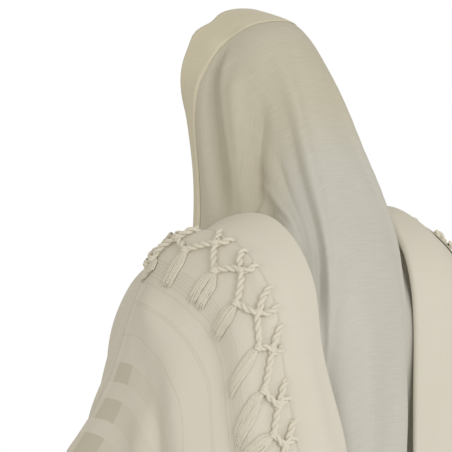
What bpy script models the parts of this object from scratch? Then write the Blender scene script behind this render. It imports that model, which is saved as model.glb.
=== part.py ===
"""A wool prayer shawl (tallit), worn over the head and shoulders, as the hollow form that it
takes on a general figure.

Frame: +Z up, the wearer faces -Y, and +X is the wearer's left. The origin is the inside of
the cloth at the crown, where the head holds the shawl. The tables are in millimetres, and
everything else is in metres.

The shawl is one rectangle. Its middle goes over the head and down the back, each side goes
over a shoulder and down the arm, and there each end is turned back outwards, over the arm
and the shoulder, so that it lies on the side as a second layer with its fringe on the back.
"""
import bpy
import numpy as np

MM = 0.001
WALL = 2 * MM             # the cloth as a closed wall, nap and weave together
LAYER = 8 * MM            # from a layer of cloth to the layer laid on it
SEAM_GAP = 0.4 * MM       # between pieces that meet
LIP_RADIUS = 5 * MM       # the roll where a side folds under beside the back
BACK_DROP = 170           # mm below a rib's ridge where its back leg hangs plumb
BAND_WALL = 1.6 * MM
FRINGE_WALL = 3 * MM      # the hanging fringe as one plain wall
FRINGE_COLUMNS = 2        # columns of the turned end that the fringe covers
BAND_ROWS = 3
FRONT_ROWS = 7            # rows of a side's under layer from its front edge to its ridge
TOP_ROWS = 3              # of these, how many the turned end keeps over its own front
CORD_RADIUS = 4 * MM      # a corner tassel's bundle of strings
CORD_LENGTH = 300 * MM
CORD_POINTS = 14
HOLE_INSET = 40 * MM      # from a corner's edges to the hole of its strings
BREAST_COLUMN = 2         # column of the under layer that a front tassel falls down
BREAST_ROW = 2            # and the row where it comes to lie on it
TEMPLE = (0.80, 0.45, 0.30)   # a hood rib's temple, as shares of the way from middle to side
MIDDLE = 4                # the net's middle column in the hood, and its ridge on a side
HANG_SPREAD = 0.75        # how early a hanging leg moves to its hem's place: under 1 is early
HOOD_COLUMNS = (0, 0.080, 0.240)    # m from the middle where the hood's columns change pace
HOOD_ROWS = (0.150, 0.430, 0.560)   # m from its edge where its rows do, beyond the band's seam
SHOULDER_TURN = 0.210     # m past a side's ridge where its back leg hangs plumb
LIP_TURNS = (50, 10)      # degrees at which a lapel's roll has its columns
FOLD_TURNS = (50, 10, -28)    # the same for the arm's fold
HEAD_MIDDLE = (0, 0.03, -0.13)      # a place inside the head that normals point away from
CREAM = (0.72, 0.68, 0.56)
BAND_CREAM = (0.66, 0.61, 0.48)

# The middle of the shawl, as ribs from the hood's front edge over the head and down to the
# hem. Each rib runs from its middle over the side of the head and the neck to its foot,
# which lies hidden under the side's cloth.
# lean moves a rib's middle and its sides to the wearer's left.
# name, lean, mid y z, side x y z, neck x y z, foot x y z
HOOD = [
    ("edge",    4, -52, 12,     86, -104, -70,    40, -112, -235,   74, -108, -412),
    ("seam",    8, 22, -9,      86, -50, -80,     82, -74, -245,    104, -68, -404),
    ("crown",   10, 44, -27,     87, -2, -98,      86, 2, -264,      150, 14, -362),
    ("vertex",  6, 62, -57,     80, 34, -130,     92, 46, -274,     160, 62, -352),
    ("occiput", 1, 85, -101,     70, 62, -168,     96, 82, -288,     164, 98, -352),
    ("nape",    0, 103, -152,   70, 92, -214,     106, 112, -306,   166, 120, -362),
    ("collar",  0, 136, -225,   75, 126, -266,    114, 136, -332,   168, 136, -384),
    ("blade",   4, 180, -315,   78, 164, -336,    120, 151, -378,   168, 145, -414),
    ("back",    12, 212, -420,  80, 190, -424,    124, 174, -434,   170, 164, -448),
    ("waist",   26, 238, -660,  80, 202, -660,    128, 196, -660,   170, 186, -660),
    ("hem",     24, 255, -1140, 82, 242, -1142,   130, 240, -1146,  172, 230, -1150),
]
# The left side, as ribs from beside the back out to the fold over the forearm. Each rib
# runs from its front edge up to its ridge, on the shoulder or the arm, and over it down the
# back to the hem. swell 1 makes the front leg a quarter ellipse and 0 a straight one; drift
# brings the hanging back leg in towards the middle; top is where the turned end's top edge
# lies on the front leg, from 0 at the front edge to 1 at the ridge.
# name, ridge x y z, back x y, hem x y z, front x y z, swell, drift, top
SIDE = [
    ("lapel",   126, 72, -290,    134, 204,   86, 282, -1210,    104, -108, -440,  1.00, 18, 0.50),
    ("fringe",  190, 36, -316,    216, 206,   186, 268, -1275,   172, -148, -500,  0.75, 12, 0.60),
    ("point",   214, -18, -350,   258, 168,   252, 238, -1300,   212, -146, -560,  0.80, 0, 0.90),
    ("arm",     240, -58, -428,   288, 84,    306, 178, -1295,   240, -142, -620,  0.55, 0, 1.00),
    ("elbow",   264, -88, -540,   298, 22,    328, 112, -1270,   264, -150, -670,  0.30, 0, 1.03),
    ("fold",    284, -152, -641,  304, -50,   330, 48, -1235,    280, -168, -690,  0.20, 0, 1.03),
]
# The right side is the left one mirrored, but for its two inner ribs, which lie wider of
# the neck and come nearer the middle lower down.
RIGHT_RIBS = {
    "lapel":  (165, 64, -291,     103, 196,   56, 282, -1215,    118, -108, -450,  1.00, 29, 0.50),
    "fringe": (205, 36, -304,     224, 206,   190, 268, -1280,   178, -148, -500,  0.80, 12, 0.60),
}
# Folds are soft ridges, or troughs where rise is negative. Each follows a curve through three
# places of its sheet, given as across and along it from the middle of its front edge.
# name, start across along, middle across along, end across along, width, rise
HOOD_FOLDS = [
    ("temple ridge",        100, 62,     168, 80,     246, 106,    13, 5),
    ("temple groove",        84, 84,     150, 107,    246, 120,    9, -6),
    ("jaw ridge",            92, 108,    152, 144,    244, 122,    12, 5),
    ("jaw trough",           92, 184,    160, 162,    236, 122,    15, -6),
    ("long ridge",           62, 140,     74, 330,    150, 640,    14, 6),
    ("long trough",          92, 210,    118, 380,    172, 560,    15, -5),
    ("far temple ridge",   -100, 66,    -160, 88,    -240, 104,    14, 5),
    ("far groove",          -88, 94,    -150, 118,   -236, 126,    11, -5),
    ("far jaw ridge",       -98, 134,   -160, 152,   -238, 130,    13, 5),
    ("far long ridge",      -58, 160,    -84, 360,   -152, 640,    16, 5),
    ("back left ridge",      34, 430,     28, 800,     36, 1300,   20, 5),
    ("back middle trough",  -14, 500,     -8, 860,    -20, 1300,   26, -5),
    ("back right ridge",    -52, 450,    -50, 800,    -56, 1300,   18, 4),
]
# The same for both layers of a side. Across is from the fringed edge out to the arm's fold.
SIDE_FOLDS = [
    ("lapel ridge",         -56, 400,    -50, 700,    -42, 1200,   18, 4),
    ("near flute",           62, 540,     74, 800,     84, 1240,   24, 10),
    ("near hollow",         118, 560,    128, 820,    138, 1240,   20, -7),
    ("middle flute",        172, 500,    184, 780,    200, 1240,   26, 11),
    ("far hollow",          232, 480,    246, 760,    254, 1240,   22, -8),
    ("far flute",           292, 440,    300, 760,    312, 1240,   26, 10),
    ("breast pleat",         42, -30,     52, 60,      60, 170,    18, 6),
    ("breast hollow",        96, -30,    104, 70,     112, 190,    20, -5),
    ("forearm pleat",       196, -30,    214, 70,     236, 190,    22, 6),
]
# Ridges of the turned end alone, over those it shares with the layer below.
TURNED_FOLDS = [
    ("arm ridge",           132, 215,    160, 350,    150, 620,    24, 9),
    ("slanting ridge",      132, 212,    184, 300,    244, 400,    24, 4),
    ("elbow ridge",         250, 300,    268, 500,    262, 820,    24, 8),
    ("shoulder swell",       70, 150,     86, 250,     96, 360,    30, 4),
]


# --- The cloth as grids of points


def spline(knots, values, at):
    """A natural cubic spline through values, which has a row for each knot, read at `at`."""
    knots, at = np.asarray(knots, float), np.asarray(at, float)
    rows = np.asarray(values, float).reshape(len(knots), -1)
    gap, count = np.diff(knots), len(knots)
    matrix, target = np.eye(count), np.zeros_like(rows)
    slope = np.diff(rows, axis=0) / gap[:, None]
    for i in range(1, count - 1):
        matrix[i, i - 1:i + 2] = gap[i - 1], 2 * (gap[i - 1] + gap[i]), gap[i]
        target[i] = 6 * (slope[i] - slope[i - 1])
    bend = np.linalg.solve(matrix, target)
    i = np.clip(np.searchsorted(knots, at, side="right") - 1, 0, count - 2)
    step, width = (at - knots[i])[:, None], gap[i][:, None]
    first = slope[i] - width * (2 * bend[i] + bend[i + 1]) / 6
    out = rows[i] + first * step + bend[i] / 2 * step ** 2 \
        + (bend[i + 1] - bend[i]) / (6 * width) * step ** 3
    return out.reshape((len(at),) + np.shape(values)[1:])


def knots_along(net, axis):
    """Distances along one axis of a net of points, averaged over the other axis."""
    length = np.linalg.norm(np.diff(net, axis=axis), axis=2).mean(1 - axis)
    return np.concatenate([[0], np.cumsum(length)])


def normals(sheet):
    """The unit normal at each point of a grid of points, outwards from the wearer."""
    across = np.gradient(sheet, axis=1)
    along = np.gradient(sheet, axis=0)
    out = np.cross(across, along)
    out /= np.linalg.norm(out, axis=2, keepdims=True)
    away = sheet - np.array(HEAD_MIDDLE)
    away[..., 2] *= sheet[..., 2] > HEAD_MIDDLE[2]
    return out * np.sign((out * away).sum(axis=2).mean())


def smooth(low, high, x):
    """0 below low, 1 above high, and a smooth step between."""
    x = np.clip((x - low) / (high - low), 0, 1)
    return x * x * (3 - 2 * x)


def relief(folds, across, along):
    """The height of a table's folds at places on a sheet: a grid of across and of along."""
    height = np.zeros(np.shape(across))
    share = np.linspace(0, 1, 25)
    for name, *places, width, rise in folds:
        curve = spline([0, 0.5, 1], np.reshape(places, (3, 2)) * MM, share)
        gap = np.hypot(across[..., None] - curve[:, 0], along[..., None] - curve[:, 1])
        at = share[gap.argmin(axis=-1)]
        fade = smooth(0, 0.25, at) * (1 - smooth(0.75, 1, at))
        height += rise * MM * fade * np.exp(-(gap.min(axis=-1) / (width * MM)) ** 2)
    return height


def lifted(sheet, height):
    """A sheet moved along its own normals by a height, or by a grid of heights."""
    return sheet + normals(sheet) * np.broadcast_to(height, sheet.shape[:2])[..., None]


def stations(marks, counts):
    """Rising places from mark to mark, with so many equal steps between each two."""
    runs = [np.linspace(a, b, n, endpoint=False) for a, b, n in zip(marks, marks[1:], counts)]
    return np.concatenate(runs + [marks[-1:]])


def hood_net():
    """The hood's ribs as a net of points: a row for each rib, mirrored about its middle."""
    net = []
    for name, lean, my, mz, *rest in HOOD:
        middle, shift = np.array([0, my, mz]), np.array([lean, 0, 0])
        side, neck, foot = np.array(rest).reshape(3, 3)
        temple = middle + (side - middle) * np.array(TEMPLE)
        upper, lower = [temple, side], [neck, foot]
        left = [p + shift for p in upper] + lower
        right = [p * np.array([-1, 1, 1]) + shift for p in upper] \
            + [p * np.array([-1, 1, 1]) for p in lower]
        net.append(right[::-1] + [middle + shift] + left)
    return np.array(net) * MM


def hood_sheet(across, along):
    """The middle's cloth. across is measured from its middle line, along from its edge."""
    net = hood_net()
    rows, columns = knots_along(net[:, 2:7], 0), knots_along(net, 1)
    sheet = spline(rows, net, along)
    sheet = spline(columns - columns[MIDDLE], sheet.transpose(1, 0, 2), across)
    return sheet.transpose(1, 0, 2)


def hood_size():
    """The middle's length from edge to hem, and half its width."""
    net = hood_net()
    return knots_along(net[:, 2:7], 0)[-1], knots_along(net, 1)[-1] / 2


def side_net(right):
    """A side's ribs as a net of points: 4 to its ridge, 5 over the back, 6 down to the hem."""
    net = []
    for name, *sizes in SIDE:
        if right and name in RIGHT_RIBS:
            sizes = RIGHT_RIBS[name]
        rx, ry, rz, bx, by, hx, hy, hz, fx, fy, fz, swell, drift = sizes[:-1]
        ridge, hem, front = np.array([rx, ry, rz]), np.array([hx, hy, hz]), np.array([fx, fy, fz])
        back = np.array([bx, by, rz - BACK_DROP])
        rib = []
        for turn in np.linspace(np.pi / 2, 0, 5)[:-1]:
            arc = np.array([np.sin(turn), np.sin(turn), 1 - np.cos(turn)])
            rib.append(ridge + (front - ridge) * (swell * arc + (1 - swell) * np.sin(turn)))
        for turn in np.linspace(0, np.pi / 2, 5):
            arc = np.array([np.sin(turn), np.sin(turn), 1 - np.cos(turn)])
            rib.append(ridge + (back - ridge) * arc)
        for down in np.linspace(0, 1, 7)[1:]:
            spread = down ** HANG_SPREAD
            place = back + (hem - back) * np.array([spread, spread, down])
            rib.append(place - np.array([4 * drift * down * (1 - down), 0, 0]))
        net.append(rib)
    return np.array(net) * MM


def side_sheet(out, down, right):
    """A side's cloth. out counts the ribs from the lapel's 0 to the fold's 5; down is a grid
    of places along each rib, in metres from its front edge. Both sides come out on +X."""
    net = side_net(right)
    across, along = knots_along(net, 0), knots_along(net, 1)
    ribs = spline(across, net, np.interp(out, range(len(SIDE)), across))
    return np.array([spline(along, rib, places) for rib, places in zip(ribs, down)])


def side_size(right):
    """Places along a rib, in metres from its front edge: of its ridge and of its hem."""
    rib = knots_along(side_net(right), 1)
    return rib[MIDDLE], rib[-1]


def hood_cloth():
    """The folded middle: its rows go from the hood's edge to the hem."""
    length, half = hood_size()
    seam = knots_along(hood_net()[:, 2:7], 0)[1]
    columns = stations([*HOOD_COLUMNS, half], [3, 8, 2])
    columns = np.concatenate([-columns[:0:-1], columns])
    rows = stations([0, seam, *HOOD_ROWS, length], [BAND_ROWS, 4, 9, 3, 8])
    sheet = hood_sheet(columns, rows)
    return lifted(sheet, relief(HOOD_FOLDS, *np.meshgrid(columns, rows)))


def side_rows(right):
    """Places down a side's ribs: over the front, round the shoulder, and hanging."""
    ridge, hem = side_size(right)
    return stations([0, ridge, ridge + SHOULDER_TURN, hem], [FRONT_ROWS, 7, 7])


def from_fringe(out, right):
    """The distance from the fringed edge, in metres, of a rib number."""
    ribs = knots_along(side_net(right), 0)
    return np.interp(out, range(len(ribs)), ribs) - ribs[1]


def under_cloth(right):
    """A side's under layer, from its lapel out to the fold over the forearm, and its places:
    a rib number for each of its columns, and metres from the front edge for each point."""
    out = stations([0, 1, 2, 5], [3, 2, 9])
    down = np.tile(side_rows(right), (len(out), 1))
    sheet = side_sheet(out, down, right)
    across = np.broadcast_to(from_fringe(out, right)[:, None], down.shape)
    return lifted(sheet, relief(SIDE_FOLDS, across, down)), out, down


def turned_cloth(right):
    """A side's turned end. Its columns start at the fringed edge, on the rib of that name,
    and its rows at its top edge, on the front leg."""
    out, down = under_cloth(right)[1:]
    tops = [RIGHT_RIBS.get(row[0], row[1:])[-1] if right else row[-1] for row in SIDE]
    first = int(np.searchsorted(out, 1))
    out, down = out[first:], down[first:, FRONT_ROWS - TOP_ROWS:]
    ridge = side_size(right)[0]
    front = np.interp(out, range(len(SIDE)), tops) * ridge
    low = down[:, TOP_ROWS + 1:TOP_ROWS + 2]
    blend = np.linspace(0, 1, TOP_ROWS + 2)[None, :-1]
    down = np.hstack([front[:, None] * (1 - blend) + low * blend, down[:, TOP_ROWS + 1:]])
    sheet = side_sheet(out, down, right)
    across = np.broadcast_to(from_fringe(out, right)[:, None], down.shape)
    sheet = lifted(sheet, LAYER + relief(SIDE_FOLDS, across, down))
    return lifted(sheet, relief(TURNED_FOLDS, across, down))


def rolled(sheet, side, radius, centre, angles):
    """A sheet with columns added past one side, round a roll. centre is the roll's height
    over the sheet, and the angles are measured there from the direction out of the sheet."""
    edge, inner = (sheet[0], sheet[1]) if side == "start" else (sheet[-1], sheet[-2])
    up = normals(sheet)[0 if side == "start" else -1]
    out = edge - inner
    out -= up * (out * up).sum(axis=1, keepdims=True)
    out /= np.linalg.norm(out, axis=1, keepdims=True)
    added = [edge + up * (centre + radius * np.sin(a)) + out * radius * np.cos(a)
             for a in np.radians(angles)]
    return np.array(added[::-1] + list(sheet) if side == "start" else list(sheet) + added)


# --- Blender objects


def material(name, colour, roughness):
    """A plain cloth material."""
    mat = bpy.data.materials.new(name)
    mat.use_nodes = True
    shader = mat.node_tree.nodes["Principled BSDF"]
    shader.inputs["Base Color"].default_value = (*colour, 1)
    shader.inputs["Roughness"].default_value = roughness
    return mat


def place(collection, name, data, mat):
    """An object with its own material, in the shawl's collection."""
    data.materials.append(mat)
    thing = bpy.data.objects.new(name, data)
    collection.objects.link(thing)
    return thing


def wall(collection, name, sheet, thickness, mat):
    """A closed wall on a sheet of points, thickened away from the wearer."""
    rows, columns = sheet.shape[:2]
    index = np.arange(rows * columns).reshape(rows, columns)
    corners = [index[:-1, :-1], index[:-1, 1:], index[1:, 1:], index[1:, :-1]]
    faces = np.stack(corners, axis=-1).reshape(-1, 4)
    turned = np.cross(sheet[1, 2] - sheet[1, 1], sheet[2, 1] - sheet[1, 1])
    if turned @ normals(sheet)[1, 1] < 0:
        faces = faces[:, ::-1]
    mesh = bpy.data.meshes.new(name)
    mesh.from_pydata(sheet.reshape(-1, 3).tolist(), [], faces.tolist())
    mesh.shade_smooth()
    thing = place(collection, name, mesh, mat)
    solid = thing.modifiers.new("cloth", "SOLIDIFY")
    solid.thickness = thickness
    solid.offset = 1
    solid.use_even_offset = True
    return thing


def tassel(collection, name, route, mat):
    """A corner's strings as one bundle, along a route that they hang on."""
    curve = bpy.data.curves.new(name, "CURVE")
    curve.dimensions = "3D"
    curve.bevel_depth = CORD_RADIUS
    curve.bevel_resolution = 2
    curve.use_fill_caps = True
    line = curve.splines.new("POLY")
    line.points.add(len(route) - 1)
    for point, spot in zip(line.points, route):
        point.co = (*spot, 1)
    return place(collection, name, curve, mat)


def mirrored(points, right):
    """Points of a side, on the wearer's left or mirrored to the right."""
    return points * np.array([-1 if right else 1, 1, 1])


def hang(route, length):
    """A route cut or carried on straight down, so that it has a length, in even steps."""
    low = route[-1] - np.array([0, 0, length])
    route = np.vstack([route, low])
    steps = np.linalg.norm(np.diff(route, axis=0), axis=1)
    far = np.concatenate([[0], np.cumsum(steps)])
    at = np.linspace(0, length, CORD_POINTS)
    return np.stack([np.interp(at, far, route[:, i]) for i in range(3)], axis=1)


def build_middle(shawl):
    """The cloth over the head and down the back, and the band sewn along its top edge."""
    centre = hood_cloth()
    wall(shawl, "shawl_centre", centre, WALL, material("centre wool", CREAM, 0.85))
    band = lifted(centre, WALL + SEAM_GAP)[:BAND_ROWS + 1, 1:-1]
    wall(shawl, "band_top", band, BAND_WALL, material("band cloth", BAND_CREAM, 0.7))


def build_side(shawl, side, right):
    """One side's two layers, the fringe on the turned end's edge and its two corner tassels."""
    under = under_cloth(right)[0]
    turned = turned_cloth(right)
    cord = CORD_RADIUS + SEAM_GAP
    over_fringe = WALL + FRINGE_WALL + 4 * SEAM_GAP + cord

    lapel = rolled(under, "start", LIP_RADIUS, -LIP_RADIUS, LIP_TURNS)
    wall(shawl, side + "_side_under", mirrored(lapel, right), WALL,
         material(side + " under wool", CREAM, 0.85))
    roll = LAYER - WALL
    folded = rolled(turned, "end", roll / 2, -roll / 2, FOLD_TURNS)
    wall(shawl, side + "_end_turned", mirrored(folded, right), WALL,
         material(side + " turned wool", CREAM, 0.85))
    fringe = lifted(turned, WALL + SEAM_GAP)[:FRINGE_COLUMNS + 1]
    wall(shawl, side + "_fringe", mirrored(fringe, right), FRINGE_WALL,
         material(side + " fringe wool", BAND_CREAM, 0.9))

    hem = lifted(turned, over_fringe)[1, -1]
    back = hang(np.array([hem + np.array([0, 0, HOLE_INSET]), hem]), CORD_LENGTH)
    tassel(shawl, side + "_tassel_back", mirrored(back, right),
           material(side + " back tassel", BAND_CREAM, 0.9))
    corner = lifted(turned, over_fringe + 2 * SEAM_GAP)[[1, 0], [1, 0]]
    breast = lifted(under, WALL + 2 * cord)[BREAST_COLUMN, BREAST_ROW::-1]
    front = hang(np.vstack([corner, breast]), CORD_LENGTH)
    tassel(shawl, side + "_tassel_front", mirrored(front, right),
           material(side + " front tassel", BAND_CREAM, 0.9))


def build():
    """The whole shawl, in a collection of its own."""
    for thing in list(bpy.data.objects):
        bpy.data.objects.remove(thing, do_unlink=True)
    shawl = bpy.data.collections.new("tallit_prayer_shawl")
    bpy.context.scene.collection.children.link(shawl)
    build_middle(shawl)
    build_side(shawl, "left", False)
    build_side(shawl, "right", True)


build()
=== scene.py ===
# %% [markdown]
# # A wool prayer shawl, worn over the head
# A tallit is one large rectangle of fine wool. Its middle lies over the head and falls down
# the back. Each side goes over a shoulder and down the arm, and its end is turned back
# outwards, so that the knotted fringe hangs on the back of the shoulder. Every visible piece
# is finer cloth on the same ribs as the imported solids. A worn shawl is pulled and tucked by
# hand, and so it is lofted and its folds are placed one by one, rather than simulated.

# %% Load the frame
import math
import bpy
import numpy as np
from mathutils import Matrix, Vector


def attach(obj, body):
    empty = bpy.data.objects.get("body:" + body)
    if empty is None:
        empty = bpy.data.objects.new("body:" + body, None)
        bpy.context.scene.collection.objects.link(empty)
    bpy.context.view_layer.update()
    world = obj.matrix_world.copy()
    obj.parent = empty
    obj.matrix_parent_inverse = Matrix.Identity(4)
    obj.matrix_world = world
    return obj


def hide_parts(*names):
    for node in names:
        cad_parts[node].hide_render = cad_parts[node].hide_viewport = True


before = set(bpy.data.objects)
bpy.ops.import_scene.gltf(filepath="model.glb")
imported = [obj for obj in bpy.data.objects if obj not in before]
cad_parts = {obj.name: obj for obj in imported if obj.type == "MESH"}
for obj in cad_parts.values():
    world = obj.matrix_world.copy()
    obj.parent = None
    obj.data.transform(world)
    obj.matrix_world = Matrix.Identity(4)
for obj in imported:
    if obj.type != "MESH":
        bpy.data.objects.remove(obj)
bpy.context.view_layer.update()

# %% [markdown]
# ## Sizes
# Real cloth sizes come first, in metres. The wall is thicker than a thread because the nap
# stands up. A turned end floats a few millimetres off the layer under it, and settles only
# at its free edges.

# %% Sizes of the cloth
MM = 0.001
CLOTH = 1.3 * MM          # woven wool with its nap
LAYER = 8 * MM            # from a layer to the turned end that lies over it
EDGE_LIFT = 3.4 * MM      # the same at the turned end's free edges
LAPEL_ROLL = 4.2 * MM     # radius of the soft fold where a side goes under beside the back
GRID = 5 * MM             # the mesh's spacing on the cloth
HOOD_ACROSS = 4 * MM      # the same across the hood and back
HOOD_ALONG = (3.5 * MM, 6 * MM)     # and along it, as far as NECK and past it
NECK = 0.45               # metres from the hood's rim to the nape
SEAM_GAP = 0.3 * MM       # between the band and the cloth that it is sewn to
BACK_DROP = 170           # mm below a rib's ridge where its back leg hangs plumb

# %% [markdown]
# ## The ribs
# Each row below is one rib of a lofted surface, in millimetres. The middle's ribs follow
# each other from the hood's edge to the hem, and a side's from the lapel beside the back out
# to the fold over the forearm.

# %% Ribs of the middle and of the left side
# lean moves a rib's middle and its sides to the wearer's left.
# name, lean, mid y z, side x y z, neck x y z, foot x y z
HOOD = [
    ("edge",     4,   -52, 12,     86, -104, -70,   40, -112, -235,   74, -108, -412),
    ("seam",     8,   22, -9,      86, -50, -80,    82, -74, -245,    104, -68, -404),
    ("crown",    10,  44, -27,     87, -2, -98,     86, 2, -264,      150, 14, -362),
    ("vertex",   6,   62, -57,     80, 34, -130,    92, 46, -274,     160, 62, -352),
    ("occiput",  1,   85, -101,    70, 62, -168,    96, 82, -288,     164, 98, -352),
    ("nape",     0,   103, -152,   70, 92, -214,    106, 112, -306,   166, 120, -362),
    ("collar",   0,   136, -225,   75, 126, -266,   114, 136, -332,   168, 136, -384),
    ("blade",    4,   180, -315,   78, 164, -336,   120, 151, -378,   168, 145, -414),
    ("back",     12,  212, -420,   80, 190, -424,   124, 174, -434,   170, 164, -448),
    ("waist",    26,  238, -660,   80, 202, -660,   128, 196, -660,   170, 186, -660),
    ("hem",      24,  255, -1140,  82, 242, -1142,  130, 240, -1146,  172, 230, -1150),
]
# swell 1 makes the front leg a quarter ellipse and 0 a straight one; drift brings the
# hanging back leg in; top is where the turned end's top edge lies on the front leg, from 0
# at its front edge to 1 at the ridge.
# name, ridge x y z, back x y, hem x y z, front x y z, swell, drift, top
SIDE = [
    ("lapel",   126, 72, -290,    134, 204,  86, 282, -1210,   104, -108, -440,  1.00, 18, 0.50),
    ("fringe",  190, 36, -316,    216, 206,  186, 268, -1275,  172, -148, -500,  0.75, 12, 0.60),
    ("point",   214, -18, -350,   258, 168,  252, 238, -1300,  212, -146, -560,  0.80, 0, 0.90),
    ("arm",     240, -58, -428,   288, 84,   306, 178, -1295,  240, -142, -620,  0.55, 0, 1.00),
    ("elbow",   264, -88, -540,   298, 22,   328, 112, -1270,  264, -150, -670,  0.30, 0, 1.03),
    ("fold",    284, -152, -641,  304, -50,  330, 48, -1235,   280, -168, -690,  0.20, 0, 1.03),
]
# The right side is the left one mirrored, but for its two inner ribs.
RIGHT_RIBS = {
    "lapel":  (165, 64, -291,  103, 196,  56, 282, -1215,   118, -108, -450,  1.00, 29, 0.50),
    "fringe": (205, 36, -304,  224, 206,  190, 268, -1280,  178, -148, -500,  0.80, 12, 0.60),
}

# %% [markdown]
# ## Folds
# Each row is one soft ridge, or a trough where its rise is negative, through three places
# of its sheet, in millimetres. Rows are uneven on purpose, because no two folds of a pulled
# cloth match, and the hidden side gets its own.

# %% The table of folds
# name, start across along, middle across along, end across along, width, rise
HOOD_FOLDS = [
    ("temple ridge",        100, 52,   168, 70,    246, 76,    12, 5),
    ("temple groove",       84, 70,    150, 91,    246, 90,    9, -6),
    ("jaw ridge",           92, 104,   152, 120,   244, 108,   14, 6),
    ("jaw trough",          92, 184,   160, 162,   236, 132,   18, -8),
    ("long ridge",          62, 140,   74, 330,    150, 640,   14, 6),
    ("long trough",         92, 210,   118, 380,   172, 560,   15, -5),
    ("rim corner",          80, -40,   82, 16,     88, 70,     9, 5),
    ("rim notch",           58, -40,   60, 16,     66, 70,     10, -5),
    ("far temple ridge",    -100, 66,  -160, 88,   -240, 104,  14, 5),
    ("far groove",          -88, 94,   -150, 118,  -236, 126,  11, -5),
    ("far jaw ridge",       -98, 134,  -160, 152,  -238, 130,  13, 5),
    ("far long ridge",      -58, 160,  -84, 360,   -152, 640,  16, 5),
    ("back left ridge",     34, 430,   28, 800,    36, 1300,   20, 5),
    ("back middle trough",  -14, 500,  -8, 860,    -20, 1300,  26, -5),
    ("back right ridge",    -52, 450,  -50, 800,   -56, 1300,  18, 4),
]
# Sharper pleats of the hood, over those. They gather under the band and fan out at the neck.
HOOD_PLEATS = [
    ("front pleat",      84, 48,     134, 70,    262, 76,    9, 4),
    ("front groove",     76, 56,     136, 89,    262, 90,    8, -6),
    ("pleat edge",       76, 76,     146, 106,   262, 98,    7, 5),
    ("pleat body",       88, 108,    150, 124,   258, 112,   12, 4),
    ("neck trough",      92, 176,    158, 160,   262, 128,   12, -4),
    ("jaw basin",        170, 112,   194, 172,   226, 200,   20, -8),
    ("jaw crease",       182, 130,   188, 212,   176, 330,   8, 5),
    ("blade trough",     132, 200,   156, 290,   150, 430,   15, -4),
    ("blade ridge",      40, 110,    72, 285,    108, 500,   12, 4),
    ("far front pleat",  -82, 50,    -138, 92,   -252, 104,  9, -6),
    ("far pleat body",   -92, 96,    -150, 130,  -254, 112,  12, 5),
    ("far neck trough",  -84, 170,   -160, 164,  -250, 116,  13, -6),
    ("far blade ridge",  -44, 130,   -70, 300,   -118, 520,  14, 4),
    ("far jaw crease",   -150, 150,  -178, 220,  -176, 340,  10, 5),
]
# Across is from the fringed edge out to the arm's fold, for both layers of a side.
SIDE_FOLDS = [
    ("lapel ridge",    -56, 400,  -50, 700,  -42, 1200,  18, 4),
    ("near flute",     62, 540,   74, 800,   84, 1240,   24, 10),
    ("near hollow",    118, 560,  128, 820,  138, 1240,  20, -7),
    ("middle flute",   172, 500,  184, 780,  200, 1240,  26, 11),
    ("far hollow",     232, 480,  246, 760,  254, 1240,  22, -8),
    ("far flute",      292, 440,  300, 760,  312, 1240,  26, 10),
    ("breast pleat",   42, -30,   52, 60,    60, 170,    18, 6),
    ("breast hollow",  96, -30,   104, 70,   112, 190,   20, -5),
    ("forearm pleat",  196, -30,  214, 70,   236, 190,   22, 6),
]
# Ridges of the turned end alone.
TURNED_FOLDS = [
    ("arm ridge",       132, 215,  160, 350,  150, 620,  24, 9),
    ("slanting ridge",  132, 212,  184, 300,  244, 400,  24, 4),
    ("elbow ridge",     250, 300,  268, 500,  262, 820,  24, 8),
    ("shoulder swell",  70, 150,   86, 250,   96, 360,   30, 4),
]
# Softer ones of both layers together, which the plain solids leave out.
ARM_FOLDS = [
    ("near arm hollow",   108, 290,  102, 430,  92, 680,   22, -9),
    ("outer arm hollow",  206, 280,  210, 420,  200, 700,  20, -6),
    ("near arm ridge",    62, 320,   56, 480,   52, 760,   20, 7),
    ("edge tuck",         10, 250,   6, 330,    14, 430,   12, 5),
    ("elbow swag",        150, 560,  220, 640,  310, 620,  26, 5),
]

# %% [markdown]
# ## From ribs to a surface
# A natural cubic spline runs through the ribs one way, and through their points the other
# way. The normal at each point then says which way is out, so that a fold, a hem or a
# second layer is the same sheet moved outwards by some height. Subdivision would not pass
# through the ribs.

# %% Spline, normals and folds
HEAD_MIDDLE = np.array([0, 0.03, -0.13])
FOLD_SAMPLES = 161        # places on a fold's curve from which distances are taken


def spline(knots, values, at):
    """A natural cubic spline through values, which has a row for each knot, read at `at`."""
    knots, at = np.asarray(knots, float), np.asarray(at, float)
    rows = np.asarray(values, float).reshape(len(knots), -1)
    gap, count = np.diff(knots), len(knots)
    matrix, target = np.eye(count), np.zeros_like(rows)
    slope = np.diff(rows, axis=0) / gap[:, None]
    for i in range(1, count - 1):
        matrix[i, i - 1:i + 2] = gap[i - 1], 2 * (gap[i - 1] + gap[i]), gap[i]
        target[i] = 6 * (slope[i] - slope[i - 1])
    bend = np.linalg.solve(matrix, target)
    i = np.clip(np.searchsorted(knots, at, side="right") - 1, 0, count - 2)
    step, width = (at - knots[i])[:, None], gap[i][:, None]
    first = slope[i] - width * (2 * bend[i] + bend[i + 1]) / 6
    out = rows[i] + first * step + bend[i] / 2 * step ** 2 \
        + (bend[i + 1] - bend[i]) / (6 * width) * step ** 3
    return out.reshape((len(at),) + np.shape(values)[1:])


def unit(vectors):
    """Vectors brought to length 1."""
    return vectors / np.linalg.norm(vectors, axis=-1, keepdims=True)


def dot(a, b):
    """The dot product of each pair of vectors."""
    return (a * b).sum(axis=-1)


def arc_lengths(points, axis=0):
    """Distances along a line or a sheet of points, from its first ones."""
    length = np.linalg.norm(np.diff(points, axis=axis), axis=-1)
    start = np.zeros_like(np.take(length, [0], axis=axis))
    return np.concatenate([start, np.cumsum(length, axis=axis)], axis=axis)


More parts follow.
